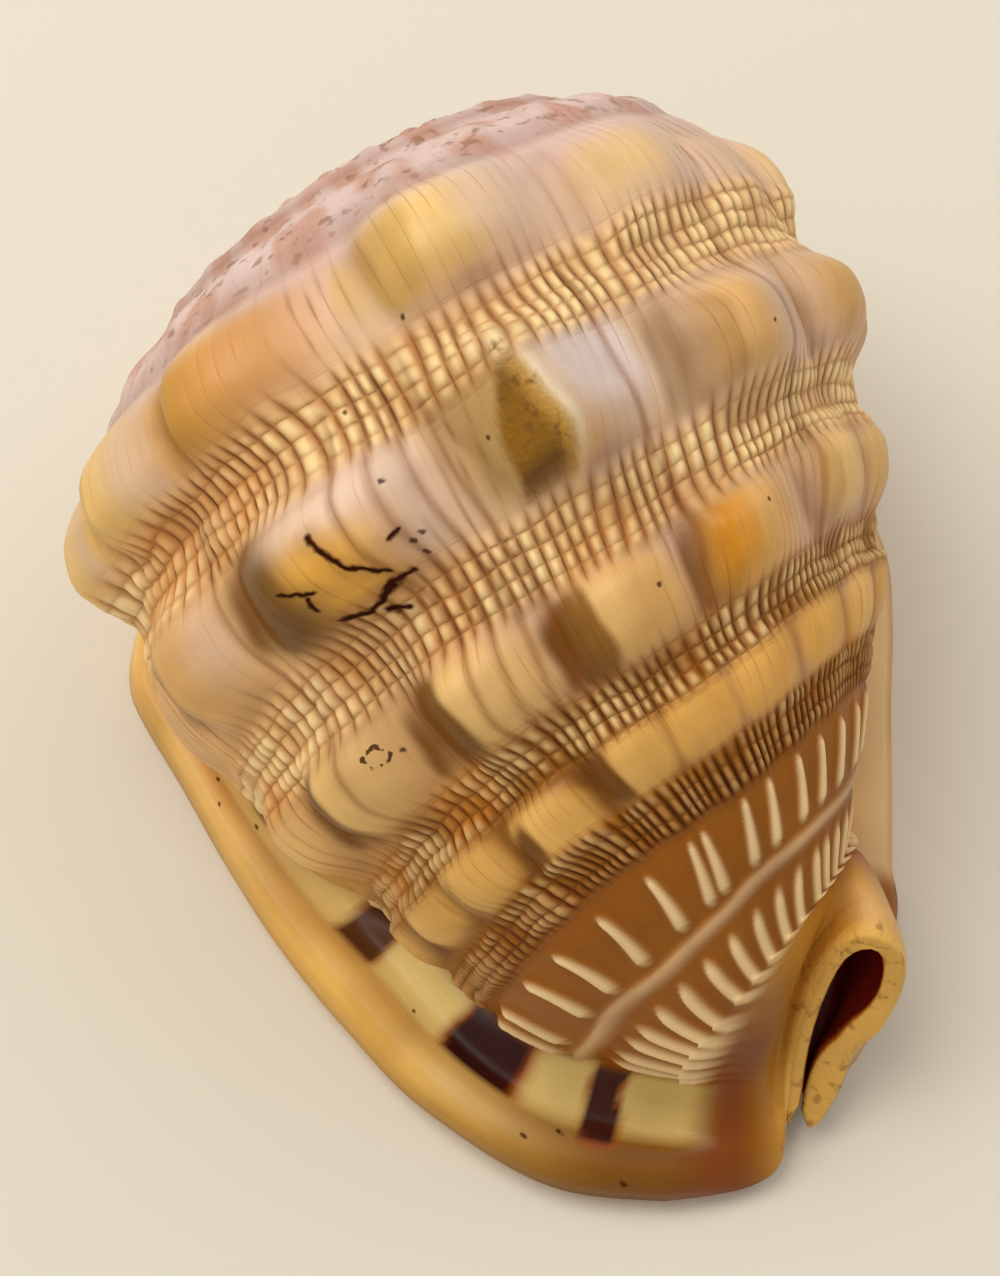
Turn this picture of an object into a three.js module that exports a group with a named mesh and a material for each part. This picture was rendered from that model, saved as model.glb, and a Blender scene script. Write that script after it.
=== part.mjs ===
// Bullmouth helmet shell lying on its aperture: one hollow grown piece, in millimetres, +Z up.
// +Y points to the spire, -Y to the siphonal canal, -X to the outer lip.
// The surface is one closed loft. Each cross ring runs from the slit along the underside of the
// outer lip, round its edge, over the back, round the columellar shield and through the chamber.
import * as THREE from "three";

const DEG = Math.PI / 180;

// Spiral growth: the whorl shrinks about the apex by this rate per radian of turn.
const GROWTH = 0.05;
const AXIS_TILT = 10 * DEG;
const APEX = new THREE.Vector3(18, 70, 47);
// The middle of the underside of the finished shell, moved to the origin.
const CENTRE = new THREE.Vector3(11.92, -3.62, 0);

// Whorl profile: depth below the apex along the axis, and radius.
const PROFILE = [
  [0, 0], [3, 13], [7, 25], [14, 38.5], [24, 46.5], [40, 50], [55, 49.5],
  [70, 46], [84, 40.5], [98, 33], [108, 26.5], [116, 20], [124, 12.5],
];

// Knobs of the four spiral rows: angle from the lip side in degrees, depth, share of the row's height,
// and how much wider than the others it is towards the lip.
const ROW_A = [
  [4, 30, 0.9], [23, 28.4, 1.15], [45, 27.3, 1.15], [82.5, 26, 1.15], [114.5, 29.7, 0.6],
  [134.5, 33.8, 0.4], [160, 33, 0.6], [186, 31, 0.6], [208, 29, 0.4],
];
const ROW_B = [
  [-8, 53, 0.25], [18, 52.6, 0.7], [51, 53.6, 1.25, 1.6], [84, 55, 1.5], [115.5, 56.3, 1],
  [144.5, 56.3, 0.9], [172, 56, 0.8], [198, 55, 0.6],
];
const ROW_C = [
  [-20, 75.5, 0.4], [3.5, 75.6, 0.75], [27, 76.7, 1.2], [54.5, 77.5, 1.25], [79, 78.3, 1.25],
  [103, 78.7, 1.25], [129.5, 77, 1], [148, 78, 0.9], [170, 78, 0.8], [192, 78, 0.6],
];
const ROW_D = [
  [-22, 91, 0.6], [-4.5, 92, 0.9], [12, 92.5, 1.2], [28.5, 93, 1.25], [48, 94.4, 1.25], [68, 93.6, 1.25],
  [83.5, 94, 1.25], [98.5, 94, 1.2], [116.5, 93.6, 1], [133, 93.6, 1], [150, 93.6, 0.9],
  [168, 93.6, 0.8], [186, 93.6, 0.7],
];
// Height of the row, then the half widths of a knob: towards the lip, away from it, to the spire,
// to the canal.
const ROWS = [
  { knobs: ROW_A, depth: 28.5, high: 6.5, lipward: 8, leeward: 11, apical: 7, basal: 8.5 },
  { knobs: ROW_B, depth: 55, high: 7.5, lipward: 8, leeward: 11, apical: 7.5, basal: 7.5 },
  { knobs: ROW_C, depth: 77.5, high: 4.6, lipward: 6.5, leeward: 8.5, apical: 6, basal: 6 },
  { knobs: ROW_D, depth: 93.5, high: 2.8, lipward: 5, leeward: 6, apical: 4.5, basal: 4.5 },
];
const ROW_RIDGE = 0.16;
// Shallow beaded bands between the rows: depth and half width.
const BANDS = [[42, 5.5], [67.5, 5], [87, 3]];
const BAND_SINK = 0.7;
// Two rows of raised ribs near the canal with a smooth cord between them.
const RIBS = 22;
const RIB_HIGH = 1.5;
const CORD_DEPTH = 113.9;
const CORD_HIGH = 1.3;

// Angle of the crease between the back and the lip, and between the back and the shield, by depth.
const LIP_CREASE = [
  [0, -34], [28, -34], [42, -34], [55, -33], [68, -31], [80, -29], [92, -27], [104, -25],
  [114, -22], [124, -19],
];
const SHIELD_CREASE = [
  [0, 222], [28, 222], [55, 220], [68, 214], [80, 208], [92, 205], [104, 204], [114, 203], [124, 202],
];
// Plan of the underside by depth: lip edge, shield edge, and the two rims of the slit.
const LIP_EDGE = [
  [10, -26, 54], [28, -43, 43], [42, -45.3, 28.5], [55, -44.8, 14], [68, -44.4, -1], [80, -43.2, -15],
  [92, -40.5, -29.5], [104, -35.5, -46.5], [114, -25.5, -63.5], [124, -10, -74.8],
];
const SHIELD_EDGE = [
  [10, 40, 60], [28, 55, 47], [42, 62, 33], [55, 66.5, 20], [68, 68, 7], [80, 66.5, -5],
  [92, 61.5, -15], [104, 54, -26.5], [114, 46, -39.5], [124, 40, -49],
];
const SLIT_LIP_RIM = [
  [10, -17.5, 54], [28, -21.5, 43], [42, -24.8, 28], [55, -25, 13], [68, -24, -2], [80, -21.5, -15],
  [92, -17.5, -29], [104, -11, -43], [114, -4, -56], [124, 2.5, -65.5],
];
const SLIT_SHIELD_RIM = [
  [10, -17, 54], [28, -17, 43], [42, -15, 29], [55, -14.8, 15], [68, -13.5, 0], [80, -11, -12],
  [92, -7, -26], [104, -1, -39], [114, 5.5, -51.5], [124, 10.5, -61.5],
];
const LIP_EDGE_HIGH = 4;
const SHIELD_EDGE_HIGH = 4.5;
const SLIT_RIM_HIGH = 3.6;
// Teeth along the slit stand on every second ring.
const RING_STEP = 2.35;
const RING_START = 26;
const TOOTH_HIGH = 1.5;

// The living chamber, from the shield side of the slit round to the lip side: angle, share of radius.
const CHAMBER = [
  [-47, 0.66], [-38, 0.54], [-12, 0.46], [30, 0.46], [80, 0.48], [122, 0.52], [150, 0.6], [168, 0.73],
  [158, 0.85], [120, 0.88], [70, 0.885], [20, 0.885], [-8, 0.875], [-24, 0.86], [-33, 0.85],
];
// Rings of the recurved canal: its back from the lip side to the shield side, the corners of its
// underside, and its bore as an oval or as the bore of the rim moved back.
const NECKS = [
  {
    back: [
      [4.6, -66.6, 13.5], [8.9, -63.6, 20.4], [14.8, -58.3, 27.6], [20.7, -53.7, 32.4],
      [25.2, -50.4, 34.8], [28.9, -48.6, 33.4], [32.2, -50.1, 27.5], [33.4, -53.2, 19.6], [32.5, -56.5, 13],
    ],
    lip: [0, -77.2, 4], lipRim: [6.2, -69.5, 6], shield: [35, -57, 6], shieldRim: [11.5, -67, 6],
    bore: { middle: [18.5, -60, 15.5], long: [7.4, 8.2, 9.4], wide: [-3.5, 0.8, 0.4] },
  },
  {
    back: [
      [7, -69.7, 9], [9.8, -64.6, 13], [13, -60.2, 18], [16.5, -57, 23.5], [20.2, -54.9, 28.5],
      [23.9, -53.8, 33], [26.9, -54, 35.5], [28.9, -56.3, 35], [29.8, -59.5, 32], [29.5, -62.4, 28.5],
      [28, -65, 24], [26.8, -65.8, 19],
    ],
    lip: [4.5, -76.3, 5.2], lipRim: [8.2, -71.4, 7], shield: [22, -68.5, 9], shieldRim: [12, -70.4, 5.6],
    bore: { behindRim: [1.4, 1.8, -0.8] },
  },
];
const CANAL_RIM = [
  [7.8, -72.1, 7.3], [9.4, -69.2, 10], [11.8, -65.3, 15], [14.9, -61.9, 20.5], [18, -59.4, 26],
  [20.5, -57.8, 31], [22.8, -57.7, 34.5], [24.8, -58.6, 36], [26.7, -60.6, 35.5], [28, -62.8, 33],
  [28, -64.7, 30], [26.5, -66.6, 26], [24.6, -67.9, 22.5], [22.5, -68.9, 19.5], [19.9, -69, 16.5],
  [18.5, -69.8, 13.5], [17.4, -71, 11.5], [15.1, -72.7, 8.5], [11.6, -74.4, 5.5], [9.7, -73.6, 5],
];
const CANAL_BORE = [
  [10.4, -71.6, 6.4], [12.1, -69.4, 8.7], [14, -67.6, 11.6], [16, -66.6, 14.6], [17.8, -66.4, 17.1],
  [19.8, -65.8, 20], [22.2, -65.6, 23], [24, -64.8, 26], [25.2, -63.4, 29.4], [25.6, -61.8, 32.4],
  [24.8, -60.5, 34.2], [23.2, -59.5, 33.2], [21.4, -59.4, 30.3], [19.1, -60.7, 25.6], [16.2, -63.2, 20.2],
  [13.2, -66.6, 14.8], [10.8, -70.2, 9.9], [9.2, -72.2, 7.4],
];

// Spans of a ring: lip underside, lip top, back, shield top, shield underside, chamber.
const SPANS = { lipUnder: 5, lipTop: 5, back: 44, shieldTop: 4, shieldUnder: 6, chamber: 16 };
const CANAL_RINGS = 8;
// Earlier whorls on the spire: rings two to a whorl, each whorl a ledge sunk at its suture.
const SPIRE_RINGS = 10;
const SPIRE_RADIUS = 45.6;
const SUTURE_SINK = 0.022;

const AXIS = new THREE.Vector3(0, Math.cos(AXIS_TILT), Math.sin(AXIS_TILT));
const LIPWARD = new THREE.Vector3(-1, 0, 0);
const UPWARD = new THREE.Vector3(0, -Math.sin(AXIS_TILT), Math.cos(AXIS_TILT));

const vec = (p) => new THREE.Vector3(...p);
const mix = (a, b, t) => a.clone().lerp(b, t);
const growth = (angle) => Math.exp(-GROWTH * (angle - Math.PI / 2));
const ease = (x) => THREE.MathUtils.smoothstep(x, 0, 1);

// Shares 0..1 of a span with its last point left out, as the next span starts there.
function shares(count) {
  return Array.from({ length: count }, (_, i) => i / count);
}

// Straight lines through [key, value] rows.
function linear(rows, x) {
  if (x <= rows[0][0]) return rows[0][1];
  const i = rows.findIndex((row) => row[0] >= x);
  if (i < 0) return rows.at(-1)[1];
  const [x0, y0] = rows[i - 1];
  const [x1, y1] = rows[i];
  return y0 + ((y1 - y0) * (x - x0)) / (x1 - x0);
}

// A smooth cubic through [key, ...values] rows, with slopes weighted by the spacing of the keys.
function smooth(rows, x) {
  const last = rows.length - 1;
  const gap = (i) => rows[i + 1][0] - rows[i][0];
  const slope = (i, k) => (rows[i + 1][k] - rows[i][k]) / gap(i);
  const tangent = (i, k) => {
    if (i === 0) return slope(0, k);
    if (i === last) return slope(last - 1, k);
    return (slope(i - 1, k) * gap(i) + slope(i, k) * gap(i - 1)) / (gap(i) + gap(i - 1));
  };
  let i = 0;
  while (i < last - 1 && x >= rows[i + 1][0]) i++;
  const w = gap(i);
  const u = THREE.MathUtils.clamp((x - rows[i][0]) / w, 0, 1);
  return rows[i].slice(1).map((value, n) => {
    const k = n + 1;
    return value * (2 * u ** 3 - 3 * u ** 2 + 1) + tangent(i, k) * w * (u ** 3 - 2 * u ** 2 + u)
      + rows[i + 1][k] * (3 * u ** 2 - 2 * u ** 3) + tangent(i + 1, k) * w * (u ** 3 - u ** 2);
  });
}

// A smooth cubic through evenly spaced points.
function path(points, share) {
  const rows = points.map((p, i) => [i / (points.length - 1), p.x, p.y, p.z]);
  return vec(smooth(rows, share));
}

// The profile as a curve along its own length, and the radius it has at a depth.
const profileRows = PROFILE.map((p) => [0, ...p]);
for (let i = 1; i < PROFILE.length; i++) {
  const step = Math.hypot(PROFILE[i][0] - PROFILE[i - 1][0], PROFILE[i][1] - PROFILE[i - 1][1]);
  profileRows[i][0] = profileRows[i - 1][0] + step;
}
const WIDEST = profileRows[5][0];
function profileWhere(column, value, low, high) {
  for (let i = 0; i < 40; i++) {
    const half = (low + high) / 2;
    if (smooth(profileRows, half)[column] < value) low = half;
    else high = half;
  }
  return smooth(profileRows, low);
}
const radiusAt = (depth) => profileWhere(0, depth, 0, profileRows.at(-1)[0])[1];
const spireDepthAt = (radius) => profileWhere(1, radius, 0, WIDEST)[0];

// The whorl swells towards the lip and is slimmer at the front of the shield side.
function flare(angle, depth) {
  const lip = ease((70 * DEG - angle) / (100 * DEG)) * (0.1 + 0.3 * ease((depth - 86) / 30));
  const slim = ease((angle - 120 * DEG) / (60 * DEG)) * 0.12 * ease((depth - 90) / 25);
  return 1 + lip - slim;
}

function whorlPoint(angle, depth, radius, scale, swell) {
  const out = LIPWARD.clone().multiplyScalar(Math.cos(angle)).addScaledVector(UPWARD, Math.sin(angle));
  return APEX.clone().addScaledVector(AXIS, -scale * depth).addScaledVector(out, scale * swell * radius);
}

function hump(x, below, above, power) {
  return Math.exp(-(Math.abs(x / (x < 0 ? below : above)) ** power));
}

// Height of the knobs, bands, ribs and cord above the plain whorl.
function relief(angle, depth, share) {
  let high = 0;
  for (const row of ROWS) {
    for (const [at, level, scale, wider = 1] of row.knobs) {
      const across = (angle - at * DEG) * radiusAt(level);
      const round = hump(across, row.lipward * wider, row.leeward, 2.6);
      high = Math.max(high, row.high * scale * round * hump(depth - level, row.apical, row.basal, 2.6));
    }
    const ridge = hump(depth - row.depth, row.apical * 0.8, row.basal * 0.8, 2);
    high = Math.max(high, ROW_RIDGE * row.high * ridge);
  }
  for (const [level, half] of BANDS) high -= BAND_SINK * hump(depth - level, half, half, 4);
  const comb = 0.5 + 0.5 * Math.cos(2 * Math.PI * RIBS * share);
  const upper = ease((depth - 101) / 3) * ease((112.5 - depth) / 2.5);
  const lower = ease((depth - 115.2) / 1.5) * ease((123 - depth) / 2);
  const cord = CORD_HIGH * hump(depth - CORD_DEPTH, 1.6, 1.6, 2);
  return high + RIB_HIGH * comb * (upper + lower) + cord;
}

// One ring. A ring of the spire has its phase in the whorls, which moves on by one across the belly.
function bodyRing(depth, phase = null) {
  const radius = radiusAt(depth);
  const ledge = (turn) =>
    phase === null ? 0 : SUTURE_SINK * radius * Math.cos(2 * Math.PI * (phase + turn));
  const lipCrease = smooth(LIP_CREASE, depth)[0] * DEG;
  const shieldCrease = smooth(SHIELD_CREASE, depth)[0] * DEG;
  const backPoint = (share) => {
    const angle = lipCrease + (shieldCrease - lipCrease) * share;
    const ends = ease((angle - lipCrease) / (7 * DEG)) * ease((shieldCrease - angle) / (10 * DEG));
    const high = radius + ends * relief(angle, depth, share);
    return whorlPoint(angle, depth - ledge(0), high, growth(angle), flare(angle, depth));
  };
  // The rounded belly, which shows only behind the lip and the shield.
  const bellyPoint = (share) => {
    const turn = ease(share);
    const angle = lipCrease - share * (2 * Math.PI - shieldCrease + lipCrease);
    const scale = growth(lipCrease) ** (1 - turn) * growth(shieldCrease) ** turn;
    const swell = THREE.MathUtils.lerp(flare(lipCrease, depth), flare(shieldCrease, depth), turn);
    const p = whorlPoint(angle, depth - ledge(turn), radius, scale, swell);
    if (p.z < 4) p.z = p.z > -4 ? (p.z + 4) ** 2 / 16 : 0;
    return p;
  };
  const plan = (rows, z) => vec([...smooth(rows, Math.max(depth, 10)), z]);
  const grown = ease((depth - 10) / 32);
  const settled = (belly, p) => mix(bellyPoint(belly), p, grown);
  const rimHigh = SLIT_RIM_HIGH + 2.4 * ease((depth - 104) / 18);
  const lip = plan(LIP_EDGE, LIP_EDGE_HIGH);
  const shield = plan(SHIELD_EDGE, SHIELD_EDGE_HIGH);
  const lipRim = plan(SLIT_LIP_RIM, rimHigh);
  const shieldRim = plan(SLIT_SHIELD_RIM, rimHigh);
  const crease = backPoint(0);
  const join = backPoint(1);
  const comb = 0.5 + 0.5 * Math.cos((Math.PI * (depth - RING_START)) / RING_STEP);
  const tooth = TOOTH_HIGH * comb * ease((depth - 34) / 8) * ease((118 - depth) / 8);

  const lipUnder = (share) => {
    const p = mix(lipRim, lip, share);
    const bare = linear([[0, rimHigh], [0.22, 1.6], [0.36, 0], [0.78, 0], [0.92, 0.9], [1, 4]], share);
    const bite = tooth * linear([[0, 1], [0.1, 1], [0.25, 0.8], [0.4, 0]], share);
    p.z = Math.max(bare - bite, Math.min(bare, 0.3));
    return settled(0.3 - 0.16 * share, p);
  };
  const lipTop = (share) => {
    const p = mix(lip, crease, share);
    const inner = Math.min(8.6, crease.z);
    const rise = [[0, 4], [0.08, 6.6], [0.2, 8.2], [0.42, 8], [0.55, 7], [0.8, inner], [1, crease.z]];
    p.z = linear(rise, share);
    return settled(0.14 * (1 - share), p);
  };
  const shieldTop = (share) => {
    const p = mix(join, shield, share);
    const groove = 8.5 + 0.15 * Math.max(join.z - 8, 0);
    p.z = linear([[0, join.z], [0.3, groove], [0.7, 8.2], [0.9, 7], [1, SHIELD_EDGE_HIGH]], share);
    return settled(1 - 0.2 * share, p);
  };
  const shieldUnder = (share) => {
    const p = mix(shield, shieldRim, share);
    const edge = [[0, SHIELD_EDGE_HIGH], [0.05, 1], [0.12, 0], [0.76, 0], [0.86, 1.6], [1, rimHigh]];
    const bare = linear(edge, share);
    const bite = tooth * linear([[0.72, 0], [0.86, 0.8], [0.95, 1], [1, 1]], share);
    p.z = Math.max(bare - bite, Math.min(bare, 0.3));
    return settled(0.8 - 0.46 * share, p);
  };

  // The chamber is a crescent inside the whorl, and narrows to an upright slot towards the canal.
  const start = shieldUnder(1);
  const end = lipUnder(0);
  const floor = mix(lipRim, shieldRim, 0.5);
  const roofShare = 0.9 - 0.32 * ease((depth - 98) / 24);
  const roof = mix(floor, APEX.clone().addScaledVector(AXIS, -depth), roofShare);
  const tall = roof.clone().sub(floor).multiplyScalar(0.5);
  const wide = new THREE.Vector3(-4.2, 1.2, 0);
  const slotted = ease((depth - 84) / 34);
  const reach = 1 - 0.66 * ease((depth - 64) / 44);
  const wall = CHAMBER.map(([at, share], i) => {
    const angle = (-40 + (at + 40) * reach) * DEG;
    const round = whorlPoint(angle, depth, share * radius, growth(angle), flare(angle, depth));
    const turn = (250 - (320 * i) / (CHAMBER.length - 1)) * DEG;
    const slot = mix(floor, roof, 0.5).addScaledVector(tall, Math.sin(turn));
    slot.addScaledVector(wide, Math.cos(turn));
    return mix(round, slot, slotted);
  });
  const loop = [start, mix(start, wall[0], 0.5), ...wall, mix(end, wall.at(-1), 0.5), end];
  const open = ease((depth - 26) / 20);
  const chamber = (share) => mix(mix(start, end, share), path(loop, share), open);

  return [
    ...shares(SPANS.lipUnder).map(lipUnder),
    ...shares(SPANS.lipTop).map(lipTop),
    ...shares(SPANS.back).map(backPoint),
    ...shares(SPANS.shieldTop).map(shieldTop),
    ...shares(SPANS.shieldUnder).map(shieldUnder),
    ...shares(SPANS.chamber).map(chamber),
  ];
}

function neckRing(neck) {
  const back = neck.back.map(vec);
  const lip = vec(neck.lip);
  const lipRim = vec(neck.lipRim);
  const shield = vec(neck.shield);
  const shieldRim = vec(neck.shieldRim);
  const level = (a, b, share, rows) => {
    const p = mix(a, b, share);
    p.z = linear(rows, share);
    return p;
  };
  const lipRise = [[0, lipRim.z], [0.4, lipRim.z * 0.3], [0.8, lipRim.z * 0.15], [1, lip.z]];
  const shieldFall = [[0, shield.z], [0.2, shield.z * 0.3], [0.7, shieldRim.z * 0.2], [1, shieldRim.z]];
  const saddle = mix(lip, back[0], 0.4).add(new THREE.Vector3(0, 0, 1.5));
  const { behindRim, middle, long, wide } = neck.bore;
  const bore = (share) => {
    const turn = (252 - 324 * share) * DEG;
    if (share === 0) return shieldRim;
    if (behindRim) return path(CANAL_BORE.map(vec), share).add(vec(behindRim));
    const aside = vec(wide).multiplyScalar(Math.cos(turn));
    return vec(middle).add(aside).addScaledVector(vec(long), Math.sin(turn));
  };
  return [
    ...shares(SPANS.lipUnder).map((s) => level(lipRim, lip, s, lipRise)),
    ...shares(SPANS.lipTop).map((s) => path([lip, saddle, back[0]], s)),
    ...shares(SPANS.back).map((s) => path(back, s)),
    ...shares(SPANS.shieldTop).map((s) => mix(back.at(-1), shield, s)),
    ...shares(SPANS.shieldUnder).map((s) => level(shield, shieldRim, s, shieldFall)),
    ...shares(SPANS.chamber).map(bore),
  ];
}

// Where the columns of each outer span end along the rim of the canal, and the share of the rim of each.
const RIM_ENDS = { lipUnder: 0.02, lipTop: 0.06, back: 0.66, shieldTop: 0.8, shieldUnder: 1 };
const rimShares = [];
let spanStart = 0;
for (const [span, spanEnd] of Object.entries(RIM_ENDS)) {
  for (const s of shares(SPANS[span])) rimShares.push(spanStart + (spanEnd - spanStart) * s);
  spanStart = spanEnd;
}

function rimRing() {
  const outside = CANAL_RIM.map(vec);
  const inside = CANAL_BORE.map(vec);
  return [
    ...rimShares.map((s) => path(outside, s)),
    ...shares(SPANS.chamber).map((s) => path(inside, s)),
  ];
}

// All rings from behind the apex to the rim of the canal.
const rings = [];
for (let i = SPIRE_RINGS - 1; i >= 0; i--) {
  const radius = SPIRE_RADIUS * Math.exp(-Math.PI * GROWTH * i);
  rings.push(bodyRing(spireDepthAt(radius), i / 2));
}
for (let depth = RING_START; depth < 123; depth += RING_STEP) rings.push(bodyRing(depth));
const guides = [rings.at(-3), rings.at(-1), ...NECKS.map(neckRing), rimRing()];
const guideKeys = [-1.2, 0, 1, 1.6, 2.2];
for (let i = 1; i <= CANAL_RINGS; i++) {
  const key = (guideKeys.at(-1) * i) / CANAL_RINGS;
  rings.push(rings[0].map((_, j) => {
    const p = vec(smooth(guides.map((guide, k) => [guideKeys[k], ...guide[j].toArray()]), key));
    p.z = Math.max(p.z, 0);
    return p;
  }));
}

// The apex, the rings, and the triangles between them.
const across = rings[0].length;
const points = [APEX, ...rings.flat()].map((p) => p.clone().sub(CENTRE));
const at = (ring, j) => 1 + ring * across + (j % across);
const triangles = [];
for (let j = 0; j < across; j++) {
  triangles.push([0, at(0, j), at(0, j + 1)]);
  for (let i = 0; i + 1 < rings.length; i++) {
    triangles.push([at(i, j), at(i + 1, j), at(i + 1, j + 1)]);
    triangles.push([at(i, j), at(i + 1, j + 1), at(i, j + 1)]);
  }
}

// The end face of the canal wall, between its outside and its bore.
const last = rings.length - 1;
const bored = across - SPANS.chamber;
let outer = 0;
let inner = 0;
while (outer < bored || inner < SPANS.chamber) {
  const a = at(last, outer);
  const b = at(last, across - inner);
  const outerNext = outer + 1 < bored ? rimShares[outer + 1] : 1;
  const innerNext = (inner + 1) / SPANS.chamber;
  if (inner === SPANS.chamber || (outer < bored && outerNext <= innerNext)) {
    outer++;
    if (a !== b) triangles.push([a, b, at(last, outer)]);
  } else {
    inner++;
    const next = at(last, across - inner);
    if (next !== a && next !== b) triangles.push([a, b, next]);
  }
}

const geometry = new THREE.BufferGeometry();
const flat = points.flatMap((p) => p.toArray());
geometry.setAttribute("position", new THREE.Float32BufferAttribute(flat, 3));
geometry.setIndex(triangles.flat());
geometry.computeVertexNormals();

const shellMaterial = new THREE.MeshStandardMaterial({ color: 0xcfa878, roughness: 0.45, metalness: 0 });
const shell = new THREE.Mesh(geometry, shellMaterial);
shell.name = "shell";

const part = new THREE.Group();
part.name = "helmet_shell";
part.add(shell);

export default part;
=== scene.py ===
import math
import bpy
import numpy as np
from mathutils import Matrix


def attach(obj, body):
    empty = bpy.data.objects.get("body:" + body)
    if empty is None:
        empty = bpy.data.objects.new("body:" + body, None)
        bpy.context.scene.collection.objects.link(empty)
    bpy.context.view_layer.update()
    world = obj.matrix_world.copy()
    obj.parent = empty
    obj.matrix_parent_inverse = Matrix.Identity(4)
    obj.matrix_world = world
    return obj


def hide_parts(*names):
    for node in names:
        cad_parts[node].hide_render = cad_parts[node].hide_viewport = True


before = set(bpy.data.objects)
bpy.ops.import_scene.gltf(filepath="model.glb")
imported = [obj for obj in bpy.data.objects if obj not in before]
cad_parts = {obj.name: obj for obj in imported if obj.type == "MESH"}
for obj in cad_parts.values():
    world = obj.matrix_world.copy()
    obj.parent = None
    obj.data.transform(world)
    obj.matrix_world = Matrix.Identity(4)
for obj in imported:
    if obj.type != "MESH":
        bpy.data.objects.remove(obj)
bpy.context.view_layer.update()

# The shell. A large sea-snail shell, one hollow piece grown from layers of aragonite, lying on its
# aperture. The snail adds to the lip as it turns, so every mark runs with the spiral or with the lip.
bpy.ops.object.select_all(action="DESELECT")

DEG = math.pi / 180
MM = 0.001
GROWTH = 0.05
BODY_END = 122.6
SPIRE_EDGE = 45.6
TILT = 10 * DEG
APEX = np.array([18.0, 70.0, 47.0])
CENTRE = np.array([11.92, -3.62, 0.0])
AXIS = np.array([0, math.cos(TILT), math.sin(TILT)])
LIPWARD = np.array([-1.0, 0, 0])
UPWARD = np.array([0, -math.sin(TILT), math.cos(TILT)])


def ease(x):
    x = np.clip(x, 0, 1)
    return x * x * (3 - 2 * x)


def smooth(rows, x):
    """A smooth cubic through rows of key and values."""
    rows = np.asarray(rows, float)
    keys, values = rows[:, 0], rows[:, 1:]
    gap = np.diff(keys)[:, None]
    slope = np.diff(values, axis=0) / gap
    inner = (slope[:-1] * gap[1:] + slope[1:] * gap[:-1]) / (gap[1:] + gap[:-1])
    tangent = np.vstack([slope[:1], inner, slope[-1:]])
    x = np.asarray(x, float)
    i = np.clip(np.searchsorted(keys, x, side="right") - 1, 0, len(keys) - 2)
    w = gap[i]
    u = np.clip((x - keys[i]) / w[..., 0], 0, 1)[..., None]
    return (values[i] * (2 * u**3 - 3 * u**2 + 1) + tangent[i] * w * (u**3 - 2 * u**2 + u)
            + values[i + 1] * (3 * u**2 - 2 * u**3) + tangent[i + 1] * w * (u**3 - u**2))


def path(points, share):
    points = np.asarray(points, float)
    keys = np.linspace(0, 1, len(points))[:, None]
    return smooth(np.hstack([keys, points]), share)


def hump(x, below, above, power):
    return np.exp(-(np.abs(x / np.where(x < 0, below, above)) ** power))


def ripples(seed, x, y, size, waves=9):
    """Seeded wavy noise, about -1 to 1, with features of the given size."""
    rng = np.random.default_rng(seed)
    total = 0
    for turn, phase, length in rng.random((waves, 3)):
        turn = turn * 2 * math.pi
        across = x * math.cos(turn) + y * math.sin(turn)
        total = total + np.sin(2 * math.pi * (across / (size * (0.6 + length)) + phase))
    return total / math.sqrt(waves)


def growth(angle):
    return np.exp(-GROWTH * (angle - math.pi / 2))


PROFILE = np.array([
    (0, 0), (3, 13), (7, 25), (14, 38.5), (24, 46.5), (40, 50), (55, 49.5), (70, 46), (84, 40.5),
    (98, 33), (108, 26.5), (116, 20), (124, 12.5)])
along = np.concatenate([[0], np.cumsum(np.hypot(*np.diff(PROFILE, axis=0).T))])
fine = smooth(np.column_stack([along, PROFILE]), np.linspace(0, along[-1], 6001))


def radius_at(depth):
    return np.interp(depth, fine[:, 0], fine[:, 1])


def flare(angle, depth):
    lip = ease((70 * DEG - angle) / (100 * DEG)) * (0.1 + 0.3 * ease((depth - 86) / 30))
    slim = ease((angle - 120 * DEG) / (60 * DEG)) * 0.12 * ease((depth - 90) / 25)
    return 1 + lip - slim


def whorl(angle, depth, radius, scale, swell):
    out = np.cos(angle)[..., None] * LIPWARD + np.sin(angle)[..., None] * UPWARD
    return APEX - (scale * depth)[..., None] * AXIS + (scale * swell * radius)[..., None] * out


# Rings from the apex to the front of the body, closer together where the beaded bands run.
spire_radius = np.concatenate([np.linspace(0, 30, 17), np.linspace(31.5, SPIRE_EDGE, 14)])
spire_depth = np.interp(spire_radius, fine[:2200, 1], fine[:2200, 0])
stations = [(22.9, 36, 1.1), (36, 48, 0.55), (48, 62, 1.1), (62, 73, 0.55), (73, 83, 0.9),
            (83, 91, 0.5), (91, 97, 0.8), (97, BODY_END, 0.55)]
depths = np.concatenate([spire_depth] + [np.arange(a, b - 0.2, s) for a, b, s in stations])
radii = np.concatenate([spire_radius, radius_at(depths[len(spire_depth):])])
rows_n = len(depths)
# Each ring runs through six spans. H and R hold its depth below the apex and its radius, as columns.
spans = {"lip_under": 10, "lip_top": 16, "back": 400,
         "shield_top": 8, "shield_under": 12, "chamber": 30}
share = {name: np.linspace(0, 1, n + 1) for name, n in spans.items()}
H = depths[:, None]
R = radii[:, None]

# The back: four spiral rows of knobs, each knob steep towards the lip and drawn out behind.
LIP_CREASE = [(0, -34), (28, -34), (42, -34), (55, -33), (68, -31), (80, -29), (92, -27), (104, -25),
              (114, -22), (124, -19)]
SHIELD_CREASE = [(0, 222), (28, 222), (55, 220), (68, 214), (80, 208), (92, 205), (104, 204), (114, 203),
                 (124, 202)]
lip_crease = smooth(LIP_CREASE, H)[..., 0] * DEG
shield_crease = smooth(SHIELD_CREASE, H)[..., 0] * DEG
angle = lip_crease + (shield_crease - lip_crease) * share["back"]
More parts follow.
